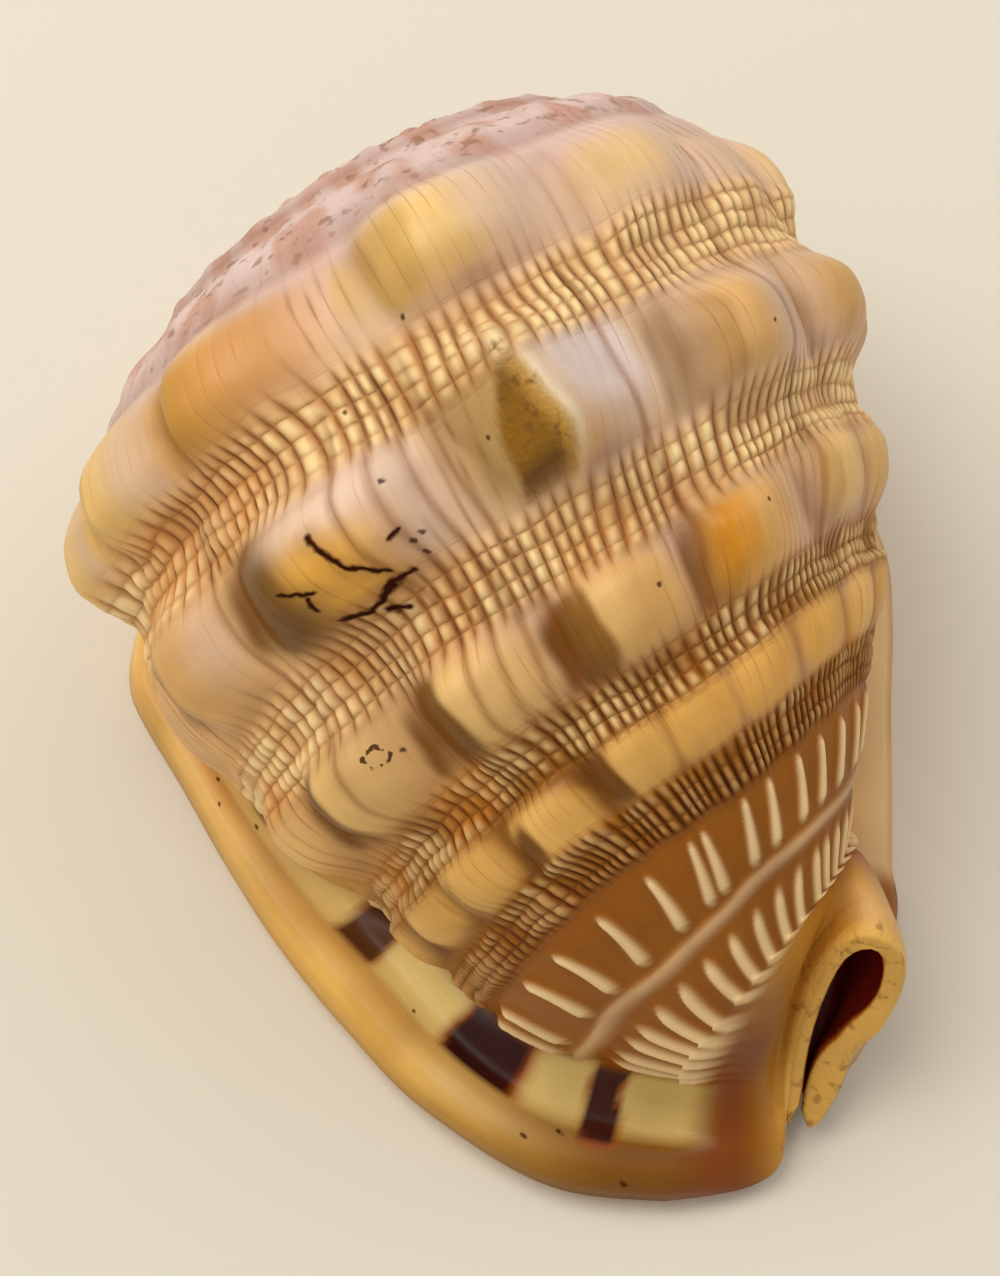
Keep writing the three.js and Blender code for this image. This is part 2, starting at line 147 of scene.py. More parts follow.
# A row: level, height, reach of a knob towards the lip, behind it, to the apex and to the canal.
# A knob: angle, depth, share of the row's height and, for the big one at the left, a wider reach.
ROWS = [
    (28.5, 6.5, 8, 11, 7, 8.5, [
        (4, 30, 0.9), (23, 28.4, 1.15), (45, 27.3, 1.15), (82.5, 26, 1.15), (114.5, 29.7, 0.6),
        (134.5, 33.8, 0.4), (160, 33, 0.6), (186, 31, 0.6), (208, 29, 0.4)]),
    (55, 7.5, 8, 11, 7.5, 7.5, [
        (-8, 53, 0.25), (18, 52.6, 0.7), (51, 53.6, 1.25, 1.6), (84, 55, 0.6), (115.5, 56.3, 1),
        (144.5, 56.3, 0.9), (172, 56, 0.8), (198, 55, 0.6)]),
    (77.5, 4.6, 6.5, 8.5, 6, 6, [
        (-20, 75.5, 0.4), (3.5, 75.6, 0.75), (27, 76.7, 1.2), (54.5, 77.5, 1.25), (79, 78.3, 1.25),
        (103, 78.7, 1.25), (129.5, 77, 1), (148, 78, 0.9), (170, 78, 0.8), (192, 78, 0.6)]),
    (93.5, 2.8, 5, 6, 4.5, 4.5, [
        (-22, 91, 0.6), (-4.5, 92, 0.9), (12, 92.5, 1.2), (28.5, 93, 1.25), (48, 94.4, 1.25),
        (68, 93.6, 1.25), (83.5, 94, 1.25), (98.5, 94, 1.2), (116.5, 93.6, 1), (133, 93.6, 1),
        (150, 93.6, 0.9), (168, 93.6, 0.8), (186, 93.6, 0.7)]),
]


def knob_row(row, angle, depth):
    level, high, lipward, leeward, apical, basal, knobs = row
    total = 0.16 * high * hump(depth - level, apical * 0.8, basal * 0.8, 2) + 0 * angle
    for at, where, scale, *wide in knobs:
        across = (angle - at * DEG) * radius_at(where)
        down = depth - where
        one = hump(across, lipward * (wide[0] if wide else 1), leeward, np.where(across < 0, 3.4, 2.2))
        one = high * scale * one * hump(down, apical, basal, np.where(down < 0, 2.6, 3.6))
        total = np.maximum(total, one)
    return total


rows_high = [knob_row(row, angle, H) for row in ROWS]
# The highest knob is a tent with a sharp ridge, broken away on its lipward side.
RIDGE = [(36, 77), (42, 80), (47.5, 82.5), (54.6, 84), (59, 84.8), (62.5, 83.5), (68, 81)]
from_ridge = (angle - smooth(RIDGE, H)[..., 0] * DEG) * 50
TENT_HIGH = 12
tall = TENT_HIGH * hump(H - 50.5, 8.8, 11.5, 5)
lee = np.exp(-np.maximum(from_ridge, 0) / 8.5)
slope = np.clip(1 + from_ridge / 12.5, 0, 1) ** 1.35
tent = tall * np.where(from_ridge > 0, lee, slope)
wedge = 1.8 + 6.4 * ease((H - 44) / 14)
broken = ease((wedge + from_ridge) / 1.2) * ease(-from_ridge / 0.6) * hump(H - 54, 9.5, 8, 8)
rows_high[1] = np.maximum(rows_high[1], tent)
knobs_high = np.max(rows_high, axis=0)

# Bands between the rows: growth riblets cut by spiral grooves into columns of square-ended beads.
ARC = 45
arc = angle * ARC


def bar(wave, power):
    """A flat-topped bar for each whole turn of the wave, with a narrow groove between bars."""
    return 1 - np.abs(2 * (wave - np.floor(wave)) - 1) ** power


RIBLETS = 100
BEAD_HIGH = 1.15
BAND_SINK = 0.7
riblet = (RIBLETS * share["back"] + 0.9 * ripples(3, arc, H * 0.4, 38)
          + 0.3 * ripples(4, arc, H * 0.3, 11))
ribbed = bar(riblet, 2.2)
strength = 0.72 + 0.28 * ripples(5, arc, H, 9)
# A band: level, half width and pitch of its cords.
BANDS = [(42, 5.7, 2.5), (67.5, 5.0, 2.3), (87, 3.3, 2.0), (100.6, 2.9, 1.9)]
band = 0 * angle
corded = 0 * angle
cord_phase = 0 * angle + 0.5
for level, half, pitch in BANDS:
    off = H - level - 0.45 * ripples(11, arc, 0 * H, 40) - 0.22 * ripples(12, arc, H, 7)
    here = hump(off, half, half, 6)
    band = np.maximum(band, here)
    corded = corded + here * bar(off / pitch + 0.5, 2.6)
    cord_phase = np.where(here > 0.01, off / pitch + 0.5, cord_phase)
beads = band * ribbed * (0.64 + 0.36 * corded) * strength
sink = 0
for level, half in ((42, 5.5), (67.5, 5), (87, 3)):
    sink = sink + BAND_SINK * hump(H - level, half, half, 4)

# Ribs near the canal: two rows of slanted bars, unevenly set, with a smooth cord between them.
# A rib: angle and slant.
UPPER_RIBS = [(131, 0), (120, 3), (110, 3), (101, 3), (90, 5), (81.5, 6), (69, 5), (64.3, 7), (52, 4),
              (37, 3.3), (23.4, 0), (11.6, 0), (-4.5, 3), (-15, 3), (142, 0), (153, 0), (164, 0),
              (175, 0), (186, 0)]
LOWER_RIBS = [(119, 0), (110.4, 1), (102.6, 4), (88.5, 14), (78, 13), (66, 15), (55, 12), (44, 10),
              (30.5, 16), (20.5, 13), (12.5, 8), (5, 9), (-4, 8), (-11, 6), (128, 0), (138, 0),
              (148, 0), (158, 0), (168, 0)]
UPPER_REACH = (104.0, 113.3)
UPPER_BEND = 0.8
LOWER_REACH = (115.0, 130.1)
LOWER_BEND = -2
LOWER_WIDE = 0.95
RIB_HIGH = 1.2
CORD_LEVEL = 114.2
CORD_HIGH = 0.9


def rib_row(ribs, angle, depth, reach, wide, bend):
    top, foot = reach
    total = 0 * angle
    along = (depth - top) / (foot - top)
    ends = ease(along / 0.25) * ease((1 - along) / 0.18)
    for at, slant in ribs:
        curve = bend * (1 + 1.2 * ease((70 - at) / 50)) * np.sin(np.clip(along, 0, 1) * math.pi)
        middle = (at + slant * (0.5 - along) + curve) * DEG
        across = (angle - middle) * radius_at(depth) * growth(middle)
        total = np.maximum(total, ends * hump(across, wide, wide, 2))
    return total


upper_wide = 0.6 + 0.4 * ease((H - 105) / 7)
upper = rib_row(UPPER_RIBS, angle, H + 0 * angle, UPPER_REACH, upper_wide, UPPER_BEND)
lower = rib_row(LOWER_RIBS, angle, H + 0 * angle, LOWER_REACH, LOWER_WIDE, LOWER_BEND)
ribs = upper + lower
cord = hump(H - CORD_LEVEL - 0.25 * ripples(8, arc, 0 * H, 30), 0.8, 0.8, 2.4)

# Growth lines and low folds over everything, and a few pauses of growth.
folds = ripples(21, arc, H * 0.12, 7) * 0.22 * ease((H - 12) / 10) * ease((100 - H) / 20)
lines = ribbed * 0.12 * ease((H - 16) / 12) * ease((98 - H) / 8)
# A pause: angle and height of the step it leaves.
PAUSES = [(57, 0.45), (61.5, 0.5), (66, 0.5), (70.5, 0.3), (96, 0.3), (124, 0.35), (31, 0.3)]
pauses = 0
paused = 0
for at, high in PAUSES:
    across = (angle - (at + 0.9 * ripples(33, H, 0 * H, 30)) * DEG) * ARC
    here = ease((H - 34) / 8) * ease((92 - H) / 8)
    pauses = pauses + high * hump(across, 0.6, 1.8, 2) * here
    paused = np.maximum(paused, hump(across + 0.9, 0.5, 0.5, 2) * here)
relief = (knobs_high - sink + BEAD_HIGH * beads + RIB_HIGH * ribs + CORD_HIGH * cord
          + folds + lines + pauses)
ends = ease((angle - lip_crease) / (6 * DEG)) * ease((shield_crease - angle) / (9 * DEG))

# The spire: earlier whorls, each sunk along its suture, with small knobs at the shoulder.
SPIRE_STEP = 0.06
on_spire = ease((23 - H) / 5)


def spire_relief(turn, radius):
    phase = np.log(np.maximum(radius, 0.5) / SPIRE_EDGE) / (2 * math.pi * GROWTH) + turn
    saw = phase - np.floor(phase)
    step = np.where(saw < 0.86, saw / 0.86, (1 - saw) / 0.14)
    return step, phase


step, _ = spire_relief(0.0 * angle, R + 0 * angle)
nodules = np.maximum(0, np.cos(angle * 22)) * hump(step - 0.8, 0.3, 0.2, 2)
spire_high = on_spire * R * (SPIRE_STEP * (step - 0.5) + 0.02 * nodules)
back = whorl(angle, H - spire_high, R + ends * relief * (1 - 0.7 * on_spire), growth(angle), flare(angle, H))

# The lip and the shield: plan of their edges and of the slit between them, by depth.
LIP_EDGE = [(10, -26, 54), (28, -43, 43), (42, -45.3, 28.5), (55, -44.8, 14), (68, -44.4, -1),
            (80, -43.2, -15), (92, -40.5, -29.5), (104, -35.5, -46.5), (114, -25.5, -63.5),
            (124, -10, -74.8)]
SHIELD_EDGE = [(10, 40, 60), (28, 55, 47), (42, 62, 33), (55, 66.5, 20), (68, 68, 7), (80, 66.5, -5),
               (92, 61.5, -15), (104, 54, -26.5), (114, 46, -39.5), (124, 40, -49)]
SLIT_LIP = [(10, -17.5, 54), (28, -21.5, 43), (42, -24.8, 28), (55, -25, 13), (68, -24, -2),
            (80, -21.5, -15), (92, -17.5, -29), (104, -11, -43), (114, -4, -56), (124, 2.5, -65.5)]
SLIT_SHIELD = [(10, -17, 54), (28, -17, 43), (42, -15, 29), (55, -14.8, 15), (68, -13.5, 0),
               (80, -11, -12), (92, -7, -26), (104, -1, -39), (114, 5.5, -51.5), (124, 10.5, -61.5)]
TOOTH_PITCH = 2.35
TOOTH_HIGH = 1.5
rim_high = 3.6 + 2.4 * ease((depths - 104) / 18)


def plan(rows, z):
    return np.column_stack([smooth(rows, np.maximum(depths, 10)), np.broadcast_to(z, depths.shape)])


def between(a, b, s):
    return a[:, None, :] + (b - a)[:, None, :] * s[:, None]


lip, shield = plan(LIP_EDGE, 4.0), plan(SHIELD_EDGE, 4.5)
lip_rim, shield_rim = plan(SLIT_LIP, rim_high), plan(SLIT_SHIELD, rim_high)
crease, join = back[:, 0], back[:, -1]
tooth = (0.5 + 0.5 * np.cos(math.pi * (H - 26) / TOOTH_PITCH)) ** 0.8 * TOOTH_HIGH
tooth = tooth * ease((H - 34) / 8) * ease((118 - H) / 8)


def belly(f):
    """The whorl's own underside, from the lip (0) round to the shield (1)."""
    turn = ease(f)
    at = lip_crease - f * (2 * math.pi - shield_crease + lip_crease)
    scale = growth(lip_crease) ** (1 - turn) * growth(shield_crease) ** turn
    swell = flare(lip_crease, H) * (1 - turn) + flare(shield_crease, H) * turn
    step, _ = spire_relief(turn, R + 0 * at)
    p = whorl(at, H - on_spire * R * SPIRE_STEP * (step - 0.5), R + 0 * at, scale, swell)
    z = p[..., 2]
    p[..., 2] = np.where(z > 4, z, np.where(z > -4, (z + 4) ** 2 / 16, 0))
    return p


# Near the apex the spans lie on that underside, each at its own place round it.
under_at = {"lip_under": 0.3 - 0.16 * share["lip_under"], "lip_top": 0.14 * (1 - share["lip_top"]),
            "back": 0 * share["back"], "shield_top": 1 - 0.2 * share["shield_top"],
            "shield_under": 0.8 - 0.46 * share["shield_under"], "chamber": 0.34 - 0.04 * share["chamber"]}
grown = ease((depths - 10) / 32)[:, None, None]


def settled(p, f):
    q = belly(f)
    return q + (p - q) * grown


def levels(s, keys, *heights):
    """Heights along a span, one row of key heights for each ring."""
    table = np.column_stack([np.broadcast_to(h, depths.shape) for h in heights])
    return np.array([np.interp(s, keys, row) for row in table])


s = share["lip_under"]
lip_under = between(lip_rim, lip, s)
bare = levels(s, [0, 0.22, 0.36, 0.78, 0.92, 1], rim_high, 1.6, 0, 0, 0.9, 4)
bite = tooth * np.interp(s, [0, 0.1, 0.25, 0.4], [1, 1, 0.8, 0])
lip_under[..., 2] = np.maximum(bare - bite, np.minimum(bare, 0.3))
lip_under = settled(lip_under, under_at["lip_under"])

s = share["lip_top"]
lip_top = between(lip, crease, s)
inner = np.minimum(8.6, crease[:, 2])
lip_top[..., 2] = levels(s, [0, 0.04, 0.1, 0.2, 0.42, 0.52, 0.62, 0.8, 1],
                         4, 5.7, 7.1, 8.2, 8.1, 7.4, 6.9, inner, crease[:, 2])
lip_top = settled(lip_top, under_at["lip_top"])

s = share["shield_top"]
shield_top = between(join, shield, s)
groove = 8.5 + 0.15 * np.maximum(join[:, 2] - 8, 0)
shield_top[..., 2] = levels(s, [0, 0.3, 0.7, 0.9, 1], join[:, 2], groove, 8.2, 7, 4.5)
shield_top = settled(shield_top, under_at["shield_top"])

s = share["shield_under"]
shield_under = between(shield, shield_rim, s)
bare = levels(s, [0, 0.05, 0.12, 0.76, 0.86, 1], 4.5, 1, 0, 0, 1.6, rim_high)
bite = tooth * np.interp(s, [0.72, 0.86, 0.95, 1], [0, 0.8, 1, 1])
shield_under[..., 2] = np.maximum(bare - bite, np.minimum(bare, 0.3))
shield_under = settled(shield_under, under_at["shield_under"])

# The chamber: a crescent inside the last whorl that narrows to a slot towards the canal.
CHAMBER = np.array([
    (-47, 0.66), (-38, 0.54), (-12, 0.46), (30, 0.46), (80, 0.48), (122, 0.52), (150, 0.6), (168, 0.73),
    (158, 0.85), (120, 0.88), (70, 0.885), (20, 0.885), (-8, 0.875), (-24, 0.86), (-33, 0.85)])
start, end = shield_under[:, -1], lip_under[:, 0]
chamber = np.empty((rows_n, spans["chamber"] + 1, 3))
slot_turn = (250 - 320 * np.linspace(0, 1, len(CHAMBER))) * DEG
for i, (d, r) in enumerate(zip(depths, radii)):
    reach = 1 - 0.66 * ease((d - 64) / 44)
    at = (-40 + (CHAMBER[:, 0] + 40) * reach) * DEG
    d_all = np.full(at.shape, d)
    rounded = whorl(at, d_all, CHAMBER[:, 1] * r, growth(at), flare(at, d_all))
    floor_mid = (lip_rim[i] + shield_rim[i]) / 2
    roof = floor_mid + (APEX - AXIS * d - floor_mid) * (0.9 - 0.32 * ease((d - 98) / 24))
    slot = ((floor_mid + roof) / 2 + np.sin(slot_turn)[:, None] * (roof - floor_mid) / 2
            + np.cos(slot_turn)[:, None] * np.array([-4.2, 1.2, 0]))
    wall = rounded + (slot - rounded) * ease((d - 84) / 34)
    loop = np.vstack([start[i], (start[i] + wall[0]) / 2, wall, (end[i] + wall[-1]) / 2, end[i]])
    straight = start[i] + (end[i] - start[i]) * share["chamber"][:, None]
    chamber[i] = straight + (path(loop, share["chamber"]) - straight) * ease((d - 26) / 20)

# The canal, bent up at the front: two rings of its neck and its rim, joined smoothly to the body.
NECKS = [
    {"back": [(4.6, -66.6, 13.5), (8.9, -63.6, 20.4), (14.8, -58.3, 27.6), (20.7, -53.7, 32.4),
              (25.2, -50.4, 34.8), (28.9, -48.6, 33.4), (32.2, -50.1, 27.5), (33.4, -53.2, 19.6),
              (32.5, -56.5, 13)],
     "lip": (0, -77.2, 4), "lip_rim": (6.2, -69.5, 6), "shield": (35, -57, 6), "shield_rim": (11.5, -67, 6),
     "middle": (18.5, -60, 15.5), "long": (7.4, 8.2, 9.4), "wide": (-3.5, 0.8, 0.4)},
    {"back": [(7, -69.7, 9), (9.8, -64.6, 13), (13, -60.2, 18), (16.5, -57, 23.5), (20.2, -54.9, 28.5),
              (23.9, -53.8, 33), (26.9, -54, 35.5), (28.9, -56.3, 35), (29.8, -59.5, 32),
              (29.5, -62.4, 28.5), (28, -65, 24), (26.8, -65.8, 19)],
     "lip": (4.5, -76.3, 5.2), "lip_rim": (8.2, -71.4, 7), "shield": (22, -68.5, 9),
     "shield_rim": (12, -70.4, 5.6), "behind_rim": (1.4, 1.8, -0.8)},
]
CANAL_RIM = [(7.8, -72.1, 7.3), (9.4, -69.2, 10), (11.8, -65.3, 15), (14.9, -61.9, 20.5), (18, -59.4, 26),
             (20.5, -57.8, 31), (22.8, -57.7, 34.5), (24.8, -58.6, 36), (26.7, -60.6, 35.5), (28, -62.8, 33),
             (28, -64.7, 30), (26.5, -66.6, 26), (24.6, -67.9, 22.5), (22.5, -68.9, 19.5), (19.9, -69, 16.5),
             (18.5, -69.8, 13.5), (17.4, -71, 11.5), (15.1, -72.7, 8.5), (11.6, -74.4, 5.5), (9.7, -73.6, 5)]
CANAL_BORE = [(10.4, -71.6, 6.4), (12.1, -69.4, 8.7), (14, -67.6, 11.6), (16, -66.6, 14.6),
              (17.8, -66.4, 17.1), (19.8, -65.8, 20), (22.2, -65.6, 23), (24, -64.8, 26),
              (25.2, -63.4, 29.4), (25.6, -61.8, 32.4), (24.8, -60.5, 34.2), (23.2, -59.5, 33.2),
              (21.4, -59.4, 30.3), (19.1, -60.7, 25.6), (16.2, -63.2, 20.2), (13.2, -66.6, 14.8),
              (10.8, -70.2, 9.9), (9.2, -72.2, 7.4)]


def ring(parts):
    return np.concatenate([p[:-1] for p in parts])


def neck_ring(neck):
    a, b, c, d = (np.array(neck[k], float) for k in ("lip_rim", "lip", "shield", "shield_rim"))
    over = path(neck["back"], share["back"])
    under = a + (b - a) * share["lip_under"][:, None]
    under[:, 2] = np.interp(share["lip_under"], [0, 0.4, 0.8, 1], [a[2], a[2] * 0.3, a[2] * 0.15, b[2]])
    saddle = b * 0.6 + over[0] * 0.4 + np.array([0, 0, 1.5])
    flap = over[-1] + (c - over[-1]) * share["shield_top"][:, None]
    sole = c + (d - c) * share["shield_under"][:, None]
    sole[:, 2] = np.interp(share["shield_under"], [0, 0.2, 0.7, 1], [c[2], c[2] * 0.3, d[2] * 0.2, d[2]])
    if "behind_rim" in neck:
        bore = path(CANAL_BORE, share["chamber"]) + np.array(neck["behind_rim"])
    else:
        turn = (252 - 324 * share["chamber"]) * DEG
        bore = (np.array(neck["middle"]) + np.cos(turn)[:, None] * np.array(neck["wide"])
                + np.sin(turn)[:, None] * np.array(neck["long"]))
    bore[0] = d
    return ring([under, path([b, saddle, over[0]], share["lip_top"]), over, flap, sole, bore])


def rim_ring():
    cuts = (("lip_under", 0, 0.02), ("lip_top", 0.02, 0.06), ("back", 0.06, 0.66),
            ("shield_top", 0.66, 0.8), ("shield_under", 0.8, 1))
    outside = [path(CANAL_RIM, a + (b - a) * share[name]) for name, a, b in cuts]
    return ring(outside + [path(CANAL_BORE, share["chamber"])])


six_spans = (lip_under, lip_top, back, shield_top, shield_under, chamber)
body = np.concatenate([p[:, :-1] for p in six_spans], axis=1)
across = body.shape[1]
bored = across - spans["chamber"]
RIM_KEY = 2.2
before = np.array([np.interp(BODY_END - 4.7, depths, column) for column in body.reshape(rows_n, -1).T])
guides = np.array([before, body[-1].ravel()] + [neck_ring(n).ravel() for n in NECKS] + [rim_ring().ravel()])
keys = np.array([-1.2, 0, 1, 1.6, RIM_KEY])
canal_keys = np.linspace(0, RIM_KEY, 25)[1:]
canal = smooth(np.column_stack([keys, guides]), canal_keys).reshape(len(canal_keys), across, 3)
canal[..., 2] = np.maximum(canal[..., 2], 0)
# The lower ribs run on into the canal's first rings.
RUN_ON = 5
run_on = BODY_END + 7.5 * canal_keys[:RUN_ON, None] / canal_keys[RUN_ON - 1]
last_angle = angle[-1:, :-1]
tail = rib_row(LOWER_RIBS, last_angle + 0 * run_on, run_on + 0 * last_angle,
               LOWER_REACH, LOWER_WIDE, LOWER_BEND)
outward = np.cos(last_angle[0])[:, None] * LIPWARD + np.sin(last_angle[0])[:, None] * UPWARD
first = spans["lip_under"] + spans["lip_top"]
on_back = slice(first, first + spans["back"])
canal[:RUN_ON, on_back] += RIB_HIGH * tail[..., None] * outward
# The rim is rounded over, on both faces of the wall.
edge = canal[-1]
facing = np.linalg.svd(edge - edge.mean(axis=0))[2][2]
facing = facing * np.sign(facing[2])
tangent = np.roll(edge, -1, axis=0) - np.roll(edge, 1, axis=0)
inward = np.cross(facing, tangent)
inward /= np.linalg.norm(inward, axis=1)[:, None] + 1e-9
inward *= np.sign(np.sum(inward[:bored] * (edge.mean(axis=0) - edge[:bored])))
soft = [edge + inward * 0.25 + facing * 0.3, edge + inward * 0.6 + facing * 0.42]
shape = np.concatenate([body, canal, np.array(soft)])
rings_n = len(shape)

# The mesh: a flat grid laid over the rings, its sides joined along the slit and its first row at the apex.
bpy.ops.mesh.primitive_grid_add(x_subdivisions=across, y_subdivisions=rings_n, size=1)
shell = bpy.context.object
shell.name = "helmet_shell"
mesh = shell.data
closed = np.concatenate([shape, shape[:, :1]], axis=1)
closed = np.concatenate([np.broadcast_to(APEX, closed[:1].shape), closed])
places = ((closed - CENTRE) * MM).astype(np.float32)


# Colours by part of the surface, as the photo shows them on this shell.
def srgb(r, g, b):
    c = np.array([r, g, b]) / 255
    return np.where(c <= 0.04045, c / 12.92, ((c + 0.055) / 1.055) ** 2.4)


def lay(base, colour, amount):
    """A thin coat of one colour, its amount given at every point."""
    return base + (srgb(*colour) - base) * np.clip(amount, 0, 1)[..., None]


def flat(colour, like):
    return np.broadcast_to(srgb(*colour), like.shape + (3,)).copy()


def blurred(values, rings, columns):
    """The running mean over a patch of rings and columns."""
    for axis, half in ((0, rings), (1, columns)):
        wide = np.pad(values, [(half + 1, half) if k == axis else (0, 0) for k in (0, 1)], mode="edge")
        total = np.cumsum(wide, axis=axis)
        n = 2 * half + 1
        high = np.take(total, range(n, total.shape[axis]), axis=axis)
        low = np.take(total, range(high.shape[axis]), axis=axis)
        values = (high - low) / n
    return values


# The back, from the broad ground colours to the crests, slopes, bands and ribs.
turned = angle / DEG
patch = ripples(42, arc, H, 15)
low = ease((H - 60) / 40)
near_lip = ease((75 - turned) / 70)
tint = flat((226, 190, 152), turned)
tint = lay(tint, (224, 172, 104), near_lip * 0.9)
tint = lay(tint, (186, 132, 70), low * 0.95)
tint = lay(tint, (146, 94, 34), 0.75 * ease((H - 82) / 8) * ease((110 - turned) / 40))
lilac = 0.6 * ease((turned - 50) / 40) * ease(0.5 + 0.6 * patch)
tint = lay(tint, (212, 180, 168), lilac * (1 - low * 0.6))
tint = lay(tint, (218, 186, 176), 0.75 * ease((33 - H) / 12))
warm = ease((125 - turned) / 60)
crest_colours = [(234, 194, 116), (214, 164, 92), (232, 192, 126), (234, 188, 116)]
fall_colours = [(210, 182, 170), (212, 186, 172), (202, 160, 110), (184, 132, 70)]
slope_colours = [(206, 166, 96), (112, 70, 12), (112, 68, 10), (104, 60, 10)]
wander = 0.4 * DEG * ripples(46, arc, H, 11)
drift = 0.35 * ripples(47, arc, H, 10)
for row, high, crest_tint, slope_tint, fall_tint in zip(
        ROWS, rows_high, crest_colours, slope_colours, fall_colours):
    level, full, _, _, apical, basal, _ = row
    raised = high / full
    rise = (knob_row(row, angle + wander + 9 * DEG, H + drift)
            - knob_row(row, angle + wander - 5 * DEG, H + drift))
    fall = knob_row(row, angle - 4 * DEG, H) - knob_row(row, angle + 4 * DEG, H)
    tint = lay(tint, crest_tint, 0.8 * ease((raised - 0.2) / 0.7))
    valley = hump(H - level, apical * 0.9, basal * 0.9, 3) * ease((0.6 - raised) / 0.4) * warm
    tint = lay(tint, slope_tint, valley * (0.75 * ease((level - 70) / 22)))
    steep = ease((rise / full - 0.12) / 0.4) * ease((raised - 0.02) / 0.2)
    tint = lay(tint, slope_tint, steep * (0.95 * warm + 0.3 * (1 - warm) * ease((155 - turned) / 30)))
    behind = 0.6 * ease(fall / (0.5 * full)) * ease((raised - 0.1) / 0.4)
    tint = lay(tint, fall_tint, behind * (1 - 0.6 * low))
bright = hump(turned - 100, 24, 22, 4)
for i in (2, 3):
    raised = rows_high[i] / ROWS[i][1]
    tint = lay(tint, (214, 146, 52), 0.3 * bright * ease((raised - 0.4) / 0.5))
# The big knob at the left, the amber knobs and the tent with its broken face.
dome = hump(turned - 51, 9, 14, 4)
amber_side = hump(turned - 100.5, 5, 4, 3) * hump(H - 78, 6, 6, 3)
tint = lay(tint, (206, 132, 26), 0.7 * amber_side)
tint = lay(tint, (232, 204, 182), 0.85 * dome * hump(H - 48.5, 5, 4, 3))
tint = lay(tint, (228, 170, 76), 0.9 * hump(turned - 50, 7, 9, 4) * hump(H + drift - 58.5, 5.5, 5, 4))
dark_side = hump(turned + 0.5 * drift - 41.5, 5, 5, 3)
tint = lay(tint, (112, 74, 10), 0.9 * dark_side * hump(H - 56, 6.5, 6.5, 4))
amber = hump(turned - 48, 14, 14, 4) * hump(H - 29, 7, 7, 4)
tint = lay(tint, (206, 144, 74), 0.85 * amber)
tint = lay(tint, (192, 140, 50), 0.8 * amber * ease((47 - turned) / 8))
tent_here = hump(H - 53, 10, 9, 5)
tint = lay(tint, (206, 172, 112), 0.8 * hump(from_ridge + 8, 6, 7, 4) * tent_here)
tint = lay(tint, (146, 100, 22), 0.95 * broken)
tint = lay(tint, (122, 88, 30), 0.8 * broken * hump(H - 48, 5, 3.5, 3))
tint = lay(tint, (74, 44, 8), 0.85 * broken * hump(H - 61, 2.2, 2.5, 3))
tint = lay(tint, (206, 158, 74), 0.9 * hump(from_ridge + 0.6, 1.3, 1.0, 3) * tent_here)
# A painted highlight along the tent's ridge, so the sharp edge reads.
tint = lay(tint, (246, 226, 190), 0.8 * hump(from_ridge - 0.4, 0.7, 1.0, 2) * tent_here)
tint = lay(tint, (228, 214, 210), 0.85 * hump(from_ridge - 7, 6, 6, 4) * hump(H - 49, 8, 9, 4))
tint = lay(tint, (150, 98, 48), 0.35 * ease((turned - 128) / 30) * ease((H - 40) / 20))
# Bands, seams between riblets, and the front with its ribs.
groove = band * (1 - ease((ribbed * (0.7 + 0.3 * corded) - 0.2) / 0.6))
band_tint = lay(flat((228, 184, 126), turned), (150, 96, 30), ease((H - 64) / 32) + 0 * turned)
tint = tint + (band_tint - tint) * (0.85 * band)[..., None]
# Bead tops painted paler, partly their own cream colour and partly a painted highlight.
tint = lay(tint, (246, 216, 158), band * ease((beads - 0.36) / 0.35) * (0.95 - 0.5 * low))
tint = lay(tint, (160, 108, 76), 0.3 * groove * (1 - warm))
tint = lay(tint, (156, 88, 26), 0.4 * groove * warm)
stain = band * ease(0.1 + 0.8 * ripples(45, arc, H, 22))
tint = lay(tint, (200, 122, 44), 0.45 * stain * warm)
tint = lay(tint, (140, 84, 36), 0.6 * paused)
seam = (1 - ease(ribbed / 0.5)) * (1 - band) * ease((H - 12) / 6) * ease((100 - H) / 4)
seam = seam * (1 - ease(knobs_high / 5))
tint = lay(tint, (150, 92, 54), 0.75 * seam * ease(0.4 + 0.6 * ripples(44, arc, H, 20)))
front = ease((H - 97) / 5)
tint = lay(tint, (146, 88, 30), front * 0.95)
tint = lay(tint, (190, 140, 84), 0.7 * front * band * ease((beads - 0.3) / 0.4))
tint = lay(tint, (98, 54, 16), 0.75 * front * groove)
RIB_TINT = (236, 204, 154)
tint = lay(tint, RIB_TINT, 0.95 * ease((ribs - 0.2) / 0.75))
tint = lay(tint, (194, 154, 112), 0.9 * cord)
# The hollows of the relief painted darker, partly the shell's own darker colour there and partly painted
# shade; its raised parts in the bands and at the front get a painted highlight.
hollow = np.clip((blurred(relief, 4, 7) - relief) / 1.2, -1, 1)
tint = lay(tint, (124, 72, 24), 0.55 * np.maximum(hollow, 0) * (1 - on_spire) * (1 - 0.6 * band))
tint = lay(tint, (246, 224, 182), 0.3 * np.maximum(-hollow, 0) * np.maximum(band, front))
rough_back = on_spire * 0.8 + broken
gloss_back = 0.38 + 0.17 * band + 0.2 * on_spire + 0.15 * broken

# The lip with its dark blotches, the shield, the teeth of the slit and the chamber.
TOOTH_TINT = (238, 212, 176)
